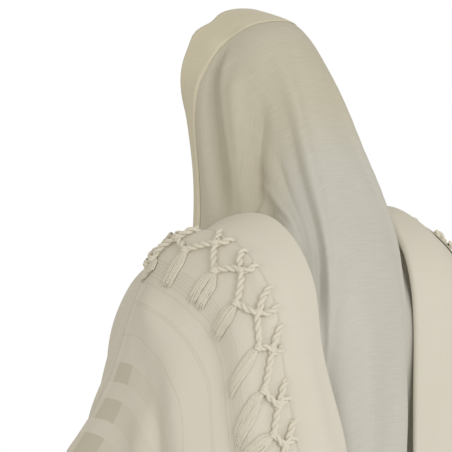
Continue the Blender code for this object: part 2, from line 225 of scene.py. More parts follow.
def knots_along(net, axis):
    """Distances along one axis of a net of points, averaged over the other axis."""
    return arc_lengths(net, axis).mean(axis=1 - axis)


def normals(sheet):
    """The unit normal at each point of a grid of points, outwards from the wearer."""
    across, along = np.gradient(sheet, axis=1), np.gradient(sheet, axis=0)
    out = unit(np.cross(across, along))
    away = sheet - HEAD_MIDDLE
    away[..., 2] *= sheet[..., 2] > HEAD_MIDDLE[2]
    return out * np.sign(dot(out, away).mean())


def smooth(low, high, x):
    """0 below low, 1 above high, and a smooth step between."""
    x = np.clip((x - low) / (high - low), 0, 1)
    return x * x * (3 - 2 * x)


def relief(folds, across, along):
    """The height of a table's folds at places on a sheet: a grid of across and of along."""
    height = np.zeros(np.shape(across))
    share = np.linspace(0, 1, FOLD_SAMPLES)
    for _, *places, width, rise in folds:
        curve = spline([0, 0.5, 1], np.reshape(places, (3, 2)) * MM, share)
        reach = 3 * width * MM
        near = (across > curve[:, 0].min() - reach) & (across < curve[:, 0].max() + reach) \
            & (along > curve[:, 1].min() - reach) & (along < curve[:, 1].max() + reach)
        gap = np.hypot(across[near][:, None] - curve[:, 0], along[near][:, None] - curve[:, 1])
        at = share[gap.argmin(axis=1)]
        fade = smooth(0, 0.25, at) * (1 - smooth(0.75, 1, at))
        height[near] += rise * MM * fade * np.exp(-(gap.min(axis=1) / (width * MM)) ** 2)
    return height


def lifted(sheet, height):
    """A sheet moved along its own normals by a height, or by a grid of heights."""
    return sheet + normals(sheet) * np.broadcast_to(height, sheet.shape[:2])[..., None]


def steps(low, high, spacing):
    """Even places from low to high, about so far apart."""
    return np.linspace(low, high, int(round((high - low) / spacing)) + 1)

# %% [markdown]
# ## The middle of the shawl
# The hood and the back are one stretch of cloth. Its ribs go over the head like the bones
# of a fan: close together at the crown, and falling apart down the back.

# %% The middle's surface
MIRROR = np.array([-1, 1, 1])
LEANS = (0, 0, 1, 1, 1, 1, 1, 0, 0)     # 1 for the points of a rib that its lean moves


def hood_net():
    """The hood's ribs as a net of points: a row for each rib, left and right of its middle."""
    net = []
    for _, lean, my, mz, *rest in HOOD:
        middle = np.array([0, my, mz])
        side, neck, foot = np.array(rest).reshape(3, 3)
        temple = middle + (side - middle) * np.array([0.80, 0.45, 0.30])
        left = [middle, temple, side, neck, foot]
        rib = np.array([point * MIRROR for point in left[:0:-1]] + left)
        net.append(rib + np.outer(LEANS, (lean, 0, 0)))
    return np.array(net) * MM


def hood_sheet(across, along):
    """The middle's cloth. across is measured from its middle line, along from its edge."""
    net = hood_net()
    rows, columns = knots_along(net[:, 2:7], 0), knots_along(net, 1)
    sheet = spline(rows, net, along)
    return spline(columns - columns[4], sheet.transpose(1, 0, 2), across).transpose(1, 0, 2)


hood_rows = knots_along(hood_net()[:, 2:7], 0)
hood_half = knots_along(hood_net(), 1)[-1] / 2
BAND_WIDTH = hood_rows[1]

# %% [markdown]
# ## A side of the shawl
# A side is lofted the other way round: each rib starts at the front edge, climbs to its
# ridge on the shoulder or the arm, rounds it as a quarter ellipse, and hangs plumb to the
# hem. The turned end is the same surface again, a few millimetres further out.

# %% A side's surface
def side_net(right):
    """A side's ribs as a net of points: 4 to its ridge, 5 over the back, 6 down to the hem."""
    net = []
    for name, *sizes in SIDE:
        if right and name in RIGHT_RIBS:
            sizes = RIGHT_RIBS[name]
        rx, ry, rz, bx, by, hx, hy, hz, fx, fy, fz, swell, drift, top = sizes
        ridge, hem, front = np.array([rx, ry, rz]), np.array([hx, hy, hz]), np.array([fx, fy, fz])
        back = np.array([bx, by, rz - BACK_DROP])
        quarter = [(np.sin(t), np.array([np.sin(t), np.sin(t), 1 - np.cos(t)]))
                   for t in np.linspace(0, np.pi / 2, 5)]
        rib = [ridge + (front - ridge) * (swell * arc + (1 - swell) * straight)
               for straight, arc in quarter[:0:-1]]
        rib += [ridge + (back - ridge) * arc for _, arc in quarter]
        for down in np.linspace(0, 1, 7)[1:]:
            spread = down ** 0.75
            place = back + (hem - back) * np.array([spread, spread, down])
            rib.append(place - np.array([4 * drift * down * (1 - down), 0, 0]))
        net.append(rib)
    return np.array(net) * MM


def side_knots(right):
    """Distances to a side's ribs, and along them to their points."""
    net = side_net(right)
    return knots_along(net, 0), knots_along(net, 1)


def side_sheet(places, down, right):
    """A side's cloth. places are distances out from the lapel's rib, and down is a grid of
    distances along each rib from its front edge. Both sides come out on +X."""
    ribs, stations = side_knots(right)
    rows = spline(ribs, side_net(right), places)
    return np.array([spline(stations, rib, row) for rib, row in zip(rows, down)])


def mirrored(points, right):
    """Points of a side, on the wearer's left or mirrored to the right."""
    return points * MIRROR if right else points

# %% [markdown]
# ## Crumple
# Between its folds a worn cloth keeps shallow dents a few centimetres across. A handful of
# seeded plane waves gives them the same way each run.

# %% Crumple
WAVES, FLATTENED = 7, 0.55          # how many waves, and how much wider they lie along


def crumple(across, along, size, rise, seed):
    """Shallow seeded dents about size wide, as a grid of heights."""
    rng = np.random.default_rng(seed)
    height = np.zeros(np.shape(across))
    for turn, phase, stretch in rng.uniform((0, 0, 0.7), (np.pi, 2 * np.pi, 1.5), (WAVES, 3)):
        run = across * np.cos(turn) + FLATTENED * along * np.sin(turn)
        height += np.sin(2 * np.pi * run / (size * stretch) + phase)
    return height * rise / np.sqrt(WAVES)

# %% [markdown]
# ## A mesh from a sheet
# Each piece of cloth is one grid of faces, and a Solidify modifier gives its edges a real
# thickness. The UV map holds metres on the cloth, so that the weave keeps its size.

# %% Cloth pieces
def placed(name, data):
    """A new object in the scene, made of a mesh, a camera or a light."""
    made = bpy.data.objects.new(name, data)
    bpy.context.scene.collection.objects.link(made)
    return made


def riding(name, points, faces, uv, mat, nodes, wall=0):
    """A mesh that rides the frame and stands for its solids."""
    mesh = bpy.data.meshes.new(name)
    mesh.from_pydata(points.reshape(-1, 3).tolist(), [], faces.tolist())
    layer = mesh.uv_layers.new(name="cloth_metres")
    layer.data.foreach_set("uv", uv.reshape(-1, 2)[faces.reshape(-1)].ravel())
    mesh.materials.append(mat)
    mesh.shade_smooth()
    piece = placed(name, mesh)
    if wall:
        solid = piece.modifiers.new("cloth wall", "SOLIDIFY")
        solid.thickness, solid.offset = wall, 1
    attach(piece, "root")
    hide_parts(*nodes)
    return piece


def cloth_piece(name, sheet, uv, mat, nodes, thickness=CLOTH):
    """A sheet as a piece of cloth with a real thickness."""
    rows, columns = sheet.shape[:2]
    index = np.arange(rows * columns).reshape(rows, columns)
    corners = [index[:-1, :-1], index[:-1, 1:], index[1:, 1:], index[1:, :-1]]
    faces = np.stack(corners, axis=-1).reshape(-1, 4)
    row, column = rows // 2, columns // 2
    here = sheet[row, column]
    turned = np.cross(sheet[row, column + 1] - here, sheet[row + 1, column] - here)
    if turned @ normals(sheet)[row, column] < 0:
        faces = faces[:, ::-1]
    size = arc_lengths(sheet, 1)[:, -1].mean(), arc_lengths(sheet, 0)[-1].mean()
    print(f"{name}: about {size[0]:.3f} x {size[1]:.3f} m of cloth")
    return riding(name, sheet, faces, uv, mat, nodes, thickness)


def rolled(sheet, uv, radius, centre, angles):
    """A sheet and its UV with rows added past the last one, round a roll. centre is the
    roll's height over the sheet; angles are from the direction out of the sheet."""
    up, out = normals(sheet)[-1], sheet[-1] - sheet[-2]
    out = unit(out - up * dot(out, up)[:, None])
    way = np.sign(uv[-1, 0, 0] - uv[-2, 0, 0])
    points, marks = list(sheet), list(uv)
    for a in np.radians(angles):
        points.append(sheet[-1] + up * (centre + radius * np.sin(a)) + out * radius * np.cos(a))
        marks.append(uv[-1] + np.array([way * radius * (np.pi / 2 - a), 0]))
    return np.array(points), np.array(marks)

# %% [markdown]
# ## Wool
# Two sets of waves at right angles make the plain weave, long thin noise makes its slubs,
# and a broad noise keeps the cream from being one flat colour. A little sheen stands for
# the nap.

# %% Materials
ROUGHNESS = 0.82
LINE_HALF = 0.9           # mm: half the width of a fine woven line


def nodes_of(mat):
    """A material's node tree and its shader."""
    mat.use_nodes = True
    return mat.node_tree, mat.node_tree.nodes["Principled BSDF"]


def add(tree, kind, sockets=(), **settings):
    """A node with its settings, and its inputs set to numbers or linked to other sockets."""
    made = tree.nodes.new(kind)
    for key, value in settings.items():
        setattr(made, key, value)
    for key, value in dict(sockets).items():
        if isinstance(value, bpy.types.NodeSocket):
            tree.links.new(value, made.inputs[key])
        else:
            made.inputs[key].default_value = value
    return made


def maths(tree, operation, a, b=0.0, c=0.0, clamp=False):
    """The output of one Math node."""
    return add(tree, "ShaderNodeMath", {0: a, 1: b, 2: c}, operation=operation,
               use_clamp=clamp).outputs[0]


def stretched_noise(tree, uv, scale_u, scale_v, detail=2.0):
    """Noise on the cloth, with so many blots a metre each way."""
    place = add(tree, "ShaderNodeMapping", {"Vector": uv, "Scale": (scale_u, scale_v, 1)})
    return add(tree, "ShaderNodeTexNoise",
               {"Vector": place.outputs[0], "Scale": 1.0, "Detail": detail}).outputs["Fac"]


def wave(tree, place, pitch):
    """A thread's height across its pitch, 0 to 1, from a place in metres."""
    turn = maths(tree, "MULTIPLY", place, 2 * math.pi / pitch)
    return maths(tree, "MULTIPLY_ADD", maths(tree, "SINE", turn), 0.5, c=0.5)


def wool(name, light, shade, weave_pitch=0.9 * MM, roughness=ROUGHNESS, sheen=0.25, slub=0.45):
    """Cream wool. Returns the material and the sockets that a finish may build on."""
    mat = bpy.data.materials.new(name)
    tree, shader = nodes_of(mat)
    uv = add(tree, "ShaderNodeUVMap", uv_map="cloth_metres").outputs[0]
    place = add(tree, "ShaderNodeSeparateXYZ", {0: uv})
    slubs = stretched_noise(tree, uv, 26, 700)
    warp = stretched_noise(tree, uv, 600, 9)
    tone = stretched_noise(tree, uv, 7, 5, 3.0)
    mix = maths(tree, "MULTIPLY", slubs, slub)
    mix = maths(tree, "MULTIPLY_ADD", warp, 0.25, c=mix)
    mix = maths(tree, "MULTIPLY_ADD", tone, 0.5, c=mix)
    mix = maths(tree, "SUBTRACT", mix, 0.12, clamp=True)
    ramp = add(tree, "ShaderNodeValToRGB", {"Fac": mix})
    ramp.color_ramp.elements[0].color = (*shade, 1)
    ramp.color_ramp.elements[1].color = (*light, 1)
    threads = maths(tree, "MULTIPLY", wave(tree, place.outputs[0], weave_pitch),
                    wave(tree, place.outputs[1], weave_pitch))
    height = maths(tree, "MULTIPLY_ADD", threads, 0.5, c=slubs)
    bump = add(tree, "ShaderNodeBump", {"Height": height, "Strength": 0.35, "Distance": 0.25 * MM})
    tree.links.new(ramp.outputs[0], shader.inputs["Base Color"])
    tree.links.new(bump.outputs[0], shader.inputs["Normal"])
    shader.inputs["Roughness"].default_value = roughness
    shader.inputs["Sheen Weight"].default_value = sheen
    shader.inputs["Sheen Roughness"].default_value = 0.5
    shader.inputs["Specular IOR Level"].default_value = 0.25
    return mat, {"tree": tree, "shader": shader, "u": place.outputs[0], "v": place.outputs[1],
                 "colour": ramp.outputs[0], "height": height, "bump": bump}


def step_up(tree, x, low, high):
    """0 below low, 1 above high, and a smooth step between, on a socket."""
    return add(tree, "ShaderNodeMapRange", {"Value": x, "From Min": low, "From Max": high},
               interpolation_type="SMOOTHSTEP").outputs[0]


def between(tree, x, low, high, soft=0.8 * MM):
    """1 from low to high and 0 outside, on a socket."""
    return maths(tree, "SUBTRACT", step_up(tree, x, low - soft, low),
                 step_up(tree, x, high, high + soft))


def stripes(tree, x, spans):
    """1 inside any of the spans, which are in millimetres, on a socket."""
    total = 0.0
    for low, high in spans:
        total = maths(tree, "ADD", between(tree, x, low * MM, high * MM), total)
    return total


def fine_lines(places):
    """The spans of fine woven lines."""
    return [(place - LINE_HALF, place + LINE_HALF) for place in places]


def tinted(parts, mask, colour):
    """Mixes a material's colour so far with its product with another, by a mask."""
    tree = parts["tree"]
    made = add(tree, "ShaderNodeMix", {0: mask}, data_type="RGBA", blend_type="MULTIPLY")
    tree.links.new(parts["colour"], made.inputs[6])
    made.inputs[7].default_value = (*colour, 1)
    tree.links.new(made.outputs[2], parts["shader"].inputs["Base Color"])
    parts["colour"] = made.outputs[2]


CREAM, CREAM_SHADE = (0.87, 0.836, 0.765), (0.78, 0.745, 0.655)
# The centre is the same cloth as the sides, made darker and greyer: painted shade for the light that
# its single layer lets through to the dark clothes beneath.
shaded_centre_wool, centre_parts = wool("centre wool", (0.745, 0.738, 0.70), (0.55, 0.543, 0.48),
                                 slub=0.8)
side_wool = wool("side wool", CREAM, CREAM_SHADE)[0]
band_cloth, band_parts = wool("band cloth", (0.84, 0.79, 0.64), (0.75, 0.70, 0.545))
turned_wool, turned_parts = wool("turned wool", CREAM, CREAM_SHADE)

# %% [markdown]
# ## Thin wool over the head
# The hood is one layer of thin wool close to dark hair, and less light comes back from it
# than from the doubled cloth below. That shade is painted into its colour: lighter over the
# pleats by the rim, full past them, and faded out above the neck.

# %% The hood's painted shade
HOOD_PAINTED_SHADE = (0.97, 0.93, 0.82)
HOOD_SHADE_FROM, HOOD_SHADE_TO = (0.10, 0.13), (0.34, 0.20)     # metres from the hood's rim
tree, v = centre_parts["tree"], centre_parts["v"]
# painted shade: four fifths as deep by the rim, full past the pleats, gone by 0.34 m
past_rim = maths(tree, "MULTIPLY_ADD", step_up(tree, v, *HOOD_SHADE_FROM), 0.2, c=0.8)
above_neck = step_up(tree, v, *HOOD_SHADE_TO)
tinted(centre_parts, maths(tree, "MULTIPLY", past_rim, above_neck), HOOD_PAINTED_SHADE)

# %% [markdown]
# ## Lines of the band
# The band is woven with four fine lines along it, and a row of stitches near its back edge
# holds it to the hood. Both are finer than the mesh, and so they are in the material.

# %% The band's lines and stitches
BAND_LINES = (12, 19, 26, 33)                     # mm from the hood's rim
STITCH_ROW, STITCH = (59 * MM, 62 * MM), 4 * MM
BAND_LINE_TINT, STITCH_TINT = (0.88, 0.87, 0.83), (1.12, 1.12, 1.14)
tree, v = band_parts["tree"], band_parts["v"]
lines = stripes(tree, v, fine_lines(BAND_LINES))
tinted(band_parts, maths(tree, "MULTIPLY", lines, 0.35), BAND_LINE_TINT)
dashes = maths(tree, "MULTIPLY_ADD", wave(tree, band_parts["u"], STITCH), 0.4, c=0.6)
stitches = maths(tree, "MULTIPLY", between(tree, v, *STITCH_ROW), dashes)
tinted(band_parts, stitches, STITCH_TINT)
seam_height = maths(tree, "MULTIPLY_ADD", stitches, 3.0, c=band_parts["height"])
tree.links.new(seam_height, band_parts["bump"].inputs["Height"])

# %% [markdown]
# ## Woven stripes
# White-on-white stripes run along the fringed edge: a group of fine lines, then single ones,
# and then broad bands that show most near the hemmed edge. They are satin, and differ from
# the plain wool only in gloss and a shade of tone. The weave shears where the cloth is
# pulled down the arm from its hem, and the stripes with it.

# %% Stripes of the turned end
FINE_LINES = (50, 55, 60, 65, 70, 76)             # mm from the fringed edge at the hem
SINGLE_LINES = (88, 118, 122, 170)
BROAD_BANDS = ((213, 243), (271, 306), (334, 376), (406, 451))
SHEAR, SHEAR_REACH = 45 * MM, 60 * MM
LINE_TINT, SATIN_TINT, HEM_TINT = (0.88, 0.87, 0.84), (0.84, 0.83, 0.77), (1.06, 1.06, 1.08)
tree, v = turned_parts["tree"], turned_parts["v"]
fading = maths(tree, "EXPONENT", maths(tree, "DIVIDE", v, -SHEAR_REACH))
u = maths(tree, "ADD", turned_parts["u"], maths(tree, "MULTIPLY_ADD", fading, SHEAR, c=-SHEAR))
lines = stripes(tree, u, fine_lines(FINE_LINES + SINGLE_LINES))
by_hem = between(tree, v, 17 * MM, 60 * MM, 2 * MM)
bands = stripes(tree, u, BROAD_BANDS)
bands = maths(tree, "MULTIPLY", bands, maths(tree, "MULTIPLY_ADD", by_hem, 0.75, c=0.25))
tinted(turned_parts, maths(tree, "MULTIPLY", lines, 0.5), LINE_TINT)
tinted(turned_parts, bands, SATIN_TINT)
hem = between(tree, v, -1 * MM, 15 * MM)
tinted(turned_parts, maths(tree, "MULTIPLY", hem, 0.6), HEM_TINT)
gloss = maths(tree, "SUBTRACT", ROUGHNESS, maths(tree, "MULTIPLY", bands, 0.3))
tree.links.new(gloss, turned_parts["shader"].inputs["Roughness"])
groove = maths(tree, "SUBTRACT", turned_parts["height"], maths(tree, "MULTIPLY", lines, 1.5))
tree.links.new(groove, turned_parts["bump"].inputs["Height"])

# %% [markdown]
# ## Hood and back
# The fine grid is read from the same ribs as the solid, and the folds and the crumple are
# added along its normals.

# %% Build the hood and back
PLEAT_DEPTH = 1.2         # how much deeper than in its table a pleat is
PLEATS_FROM, PLEATS_FULL = -4 * MM, 16 * MM         # past the band's seam
HOOD_DENTS = (0.07, 0.5 * MM)       # the crumple's size and rise
columns = steps(-hood_half, hood_half, HOOD_ACROSS)
rows = np.concatenate([steps(0, NECK, HOOD_ALONG[0])[:-1],
                       steps(NECK, hood_rows[-1], HOOD_ALONG[1])])
across, along = np.meshgrid(columns, rows)
centre = hood_sheet(columns, rows)
past_seam = smooth(BAND_WIDTH + PLEATS_FROM, BAND_WIDTH + PLEATS_FULL, along)
pleats = PLEAT_DEPTH * relief(HOOD_PLEATS, across, along) * past_seam
centre = lifted(centre, relief(HOOD_FOLDS, across, along) + pleats)
centre = lifted(centre, crumple(across, along, *HOOD_DENTS, seed=3) * smooth(0.02, 0.1, along))
centre_uv = np.stack([across, arc_lengths(centre, 0)], axis=-1)
hood_and_back = cloth_piece("hood_and_back", centre, centre_uv, shaded_centre_wool,
                            ["shawl_centre"])

# %% [markdown]
# ## The band
# A plain band is sewn along the middle of the top edge, over the hood's rim. It is the
# hood's own points moved out by a little more than the cloth's thickness.

# %% Build the band
BAND_GRID, BAND_WALL = 3 * MM, 1.0 * MM
BAND_END = 40 * MM        # how far it stops short of the hood's foot on each side
band_rows = steps(0, BAND_WIDTH, BAND_GRID)
band_columns = steps(-hood_half + BAND_END, hood_half - BAND_END, GRID)
across, along = np.meshgrid(band_columns, band_rows)
band = hood_sheet(band_columns, band_rows)
band = lifted(band, CLOTH + SEAM_GAP + relief(HOOD_FOLDS, across, along))
band_uv = np.stack([across, along], axis=-1)
band_piece = cloth_piece("top_band", band, band_uv, band_cloth, ["band_top"], BAND_WALL)

# %% [markdown]
# ## The sides
# Each side has two layers: the under one from the lapel over the shoulder to the fold on
# the forearm, and the turned end, which comes back from that fold to its fringed edge.

# %% Build the two layers of each side
SETTLE = (50 * MM, 45 * MM)         # how far in from its edges the turned end still settles
UNDER_DENTS, TURNED_DENTS = (0.08, 0.5 * MM), (0.09, 0.8 * MM)
TURNED_RISE = 1.25        # how much higher than in its table a ridge is
FREE_TOP = 30 * MM        # the ridges fade out within this from the top edge
LAPEL_TURNS, FOLD_TURNS = (70, 45, 20, -5, -30, -55, -75), (65, 40, 15, -10, -35, -60)


def folded_sheet(places, down, right):
    """A side's sheet with the folds of both layers, and distances past the fringed edge."""
    across = np.broadcast_to((places - side_knots(right)[0][1])[:, None], down.shape)
    sheet = side_sheet(places, down, right)
    return lifted(sheet, relief(SIDE_FOLDS + ARM_FOLDS, across, down)), across


def under_layer(right):
    """The under layer's sheet and its UV."""
    ribs, stations = side_knots(right)
    places = steps(0, ribs[-1], GRID)
    down = np.tile(steps(0, stations[-1], GRID), (len(places), 1))
    sheet, across = folded_sheet(places, down, right)
    sheet = lifted(sheet, crumple(across, down, *UNDER_DENTS, seed=11 + right))
    return sheet, np.stack([across, arc_lengths(sheet, 1)], axis=-1)


def turned_layer(right):
    """The turned end's sheet and UV: metres from the fringed edge, and from its top edge."""
    ribs, stations = side_knots(right)
    tops = [RIGHT_RIBS.get(row[0], row[1:])[-1] if right else row[-1] for row in SIDE]
    places = steps(ribs[1], ribs[-1], GRID)
    top = spline(ribs[1:], np.array(tops[1:])[:, None] * stations[4], places)
    down = top + (stations[-1] - top) * steps(0, 1, GRID / stations[-1])[None, :]
    sheet, across = folded_sheet(places, down, right)
    settle = smooth(0, SETTLE[0], across) * smooth(0, SETTLE[1], down - top)
    lift = EDGE_LIFT + (LAYER - EDGE_LIFT) * settle
    shape = TURNED_RISE * relief(TURNED_FOLDS, across, down)
    shape += crumple(across, down, *TURNED_DENTS, seed=21 + right)
    sheet = lifted(sheet, lift + shape * smooth(0, FREE_TOP, down - top))
    return sheet, np.stack([arc_lengths(sheet, 0), arc_lengths(sheet, 1)], axis=-1)


sides = {}
for side, right in (("left", False), ("right", True)):
    under, under_uv = under_layer(right)
    turned, turned_uv = turned_layer(right)
    lapel, lapel_uv = rolled(under[::-1], under_uv[::-1], LAPEL_ROLL, -LAPEL_ROLL, LAPEL_TURNS)
    lapel, lapel_uv = lapel[::-1], lapel_uv[::-1]
    fold = (LAYER - CLOTH) / 2
    folded, folded_uv = rolled(turned, turned_uv, fold, -fold, FOLD_TURNS)
    under_piece = cloth_piece(side + "_side", mirrored(lapel, right), lapel_uv, side_wool,
                              [side + "_side_under"])
    turned_piece = cloth_piece(side + "_turned_end", mirrored(folded, right), folded_uv,
                               turned_wool, [side + "_end_turned"])
    sides[side] = {"under": under, "turned": turned,
                   "under_piece": under_piece, "turned_piece": turned_piece}

# %% [markdown]
# ## How the fringe falls
# The fringe is the turned end's own warp, left unwoven past its edge. It starts square to
# the edge, but lies on the cloth and slides down it. Each line leaves the edge in small
# steps, partly outwards and partly down the slope, and together they make the sheet that
# the cords lie on.

# %% The sheet that the fringe lies on
BED_STEP = 2 * MM         # from one place on a line to the next


def on_sheet(grid, i, j):
    """Values of a grid between its lines: i and j count its rows and columns."""
    i = np.clip(i, 0, grid.shape[0] - 1.001)
    j = np.clip(j, 0, grid.shape[1] - 1.001)
    a, b = np.floor(i).astype(int), np.floor(j).astype(int)
    s, t = (i - a)[..., None], (j - b)[..., None]
    return (grid[a, b] * (1 - s) * (1 - t) + grid[a + 1, b] * s * (1 - t)
            + grid[a, b + 1] * (1 - s) * t + grid[a + 1, b + 1] * s * t)


def fall(sheet, reach, pull):
    """A sheet of lines that leave the first row's edge and are pulled down along the cloth."""
    up, out_way, down_way = normals(sheet), np.gradient(sheet, axis=0), np.gradient(sheet, axis=1)
    i, j = np.zeros(sheet.shape[1]), np.arange(sheet.shape[1], dtype=float)
    trail = []
    for _ in range(int(reach / BED_STEP)):
        trail.append(on_sheet(sheet, i, j))
        u, a, b = (on_sheet(grid, i, j) for grid in (up, out_way, down_way))
        u = unit(u)
        slope = u * u[:, 2:] - np.array([0, 0, 1])
        aa, ab, bb = dot(a, a), dot(a, b), dot(b, b)
        go = unit(unit(a - b * (ab / bb)[:, None]) + pull * slope) * BED_STEP
        ga, gb = dot(go, a), dot(go, b)
        i = i + (ga * bb - gb * ab) / (aa * bb - ab * ab)
        j = j + (gb * aa - ga * ab) / (aa * bb - ab * ab)
    return np.array(trail).transpose(1, 0, 2)

# %% [markdown]
# ## Yarn
# Every cord is a round tube swept along a line. Two tubes on one screw make a two-ply cord,
# and a few tight turns of it make a knot. All the tubes of a piece are one joined mesh.

# %% Tubes, cords and knots
PLY_PRESS = 0.92          # plies press into each other, and lie this much nearer


def read_at(line, far, at):
    """Points of a line between its own, whose distances along it are far."""
    return np.stack([np.interp(at, far, line[:, axis]) for axis in range(3)], axis=1)


def square_to(line, up):
    """Two unit directions square to a line at each of its points: to its side, and up."""
    ahead = np.gradient(line, axis=0)
    side = unit(np.cross(ahead, up))
    return side, unit(np.cross(side, ahead))


class Yarn:
    """A growing joined mesh of round strands."""
    def __init__(self):
        self.points, self.faces, self.uv, self.count = [], [], [], 0

    def strand(self, line, up, radius, sides=6):
        """A tube along a line of points. up is a way that it never runs in."""
        side, rise = square_to(line, up)
        turn = np.arange(sides) * 2 * np.pi / sides
        ring = rise[:, None] * np.cos(turn)[:, None] + side[:, None] * np.sin(turn)[:, None]
        width = np.broadcast_to(radius, len(line))[:, None, None]
        index = self.count + np.arange(len(line) * sides).reshape(len(line), sides)
        after = np.roll(index, -1, axis=1)
        corners = [index[:-1], after[:-1], after[1:], index[1:]]
        self.faces.append(np.stack(corners, -1).reshape(-1, 4))
        self.points.append((line[:, None] + ring * width).reshape(-1, 3))
        around = np.broadcast_to(turn * np.mean(radius), index.shape)
        far = np.broadcast_to(arc_lengths(line)[:, None], index.shape)
        self.uv.append(np.stack([around, far], -1).reshape(-1, 2))
        self.count += index.size

    def cord(self, line, up, ply, pitch, plies=2, phase=0.0, sides=6):
        """Plies twisted round each other along a line."""
        side, rise = square_to(line, up)
        spread = PLY_PRESS * ply * (1.0 if plies == 2 else 1.25)
        for k in range(plies):
            turn = phase + 2 * np.pi * (arc_lengths(line) / pitch + k / plies)
            offset = rise * np.cos(turn)[:, None] + side * np.sin(turn)[:, None]
            self.strand(line + offset * spread, up, ply, sides)

    def wrap(self, start, end, up, radius, ply, turns, steps=12):
        """A cord wound round the line from start to end."""
        ahead = unit(end - start)
        side = unit(np.cross(ahead, up))
        rise = np.cross(side, ahead)
        share = np.linspace(0, 1, int(turns * steps) + 1)
        turn = 2 * np.pi * turns * share
        swell = radius * (0.75 + 0.25 * np.sin(np.pi * share))
        line = start + np.outer(share, end - start) \
            + (np.outer(np.cos(turn), rise) + np.outer(np.sin(turn), side)) * swell[:, None]
        self.strand(line, np.broadcast_to(ahead, line.shape), ply)

    def piece(self, name, mat, nodes, slot):
        """The joined mesh as a piece that rides the frame."""
        points, faces, uv = map(np.concatenate, (self.points, self.faces, self.uv))
        return riding(name, points, faces, uv, mat, nodes)

# %% [markdown]
# ## The knotted fringe
# Pairs of twisted cords leave the edge and meet in a first row of knots. From each knot two
# cords go on, and neighbours meet again in a second row, as in a net. Below that the yarn is
# left untwisted, and frays into soft tails. No two are alike, and so spacing, slack and
# length are drawn with a seed.

# %% Build the fringes
FRINGE_UNIT = 66 * MM     # from one tail to the next along the edge
FIRST_KNOT, SECOND_KNOT, TAIL = 26 * MM, 54 * MM, 66 * MM
FRINGE_REACH = 138 * MM
FRINGE_PULL = 1.1         # how strongly the cloth's slope turns the fringe down
CORD_PLY, CORD_PITCH = 2.7 * MM, 25 * MM
CORD_POINT = 1.3 * MM     # from one point of a cord to the next
CORD_LOW, CORD_HIGH, CORD_ARCH = 2.6 * MM, 5.4 * MM, 1.5 * MM    # over the cloth
KNOT_HEIGHT, KNOT_HALF, KNOT_RADIUS, KNOT_PLY = 5.2 * MM, 4 * MM, 4.4 * MM, 2.4 * MM
KNOT_TURNS, KNOT_CORE = 2.2, np.array([2.8, 4.4, 4.4, 2.8]) * MM
TAIL_NECK, TAIL_HEAP, YARN_RADIUS = 2 * MM, 5.6 * MM, 1.15 * MM
STRANDS = 66              # loose yarns in a tail
CORNER_TAIL = 0.35        # the tails at the top corner are worn short


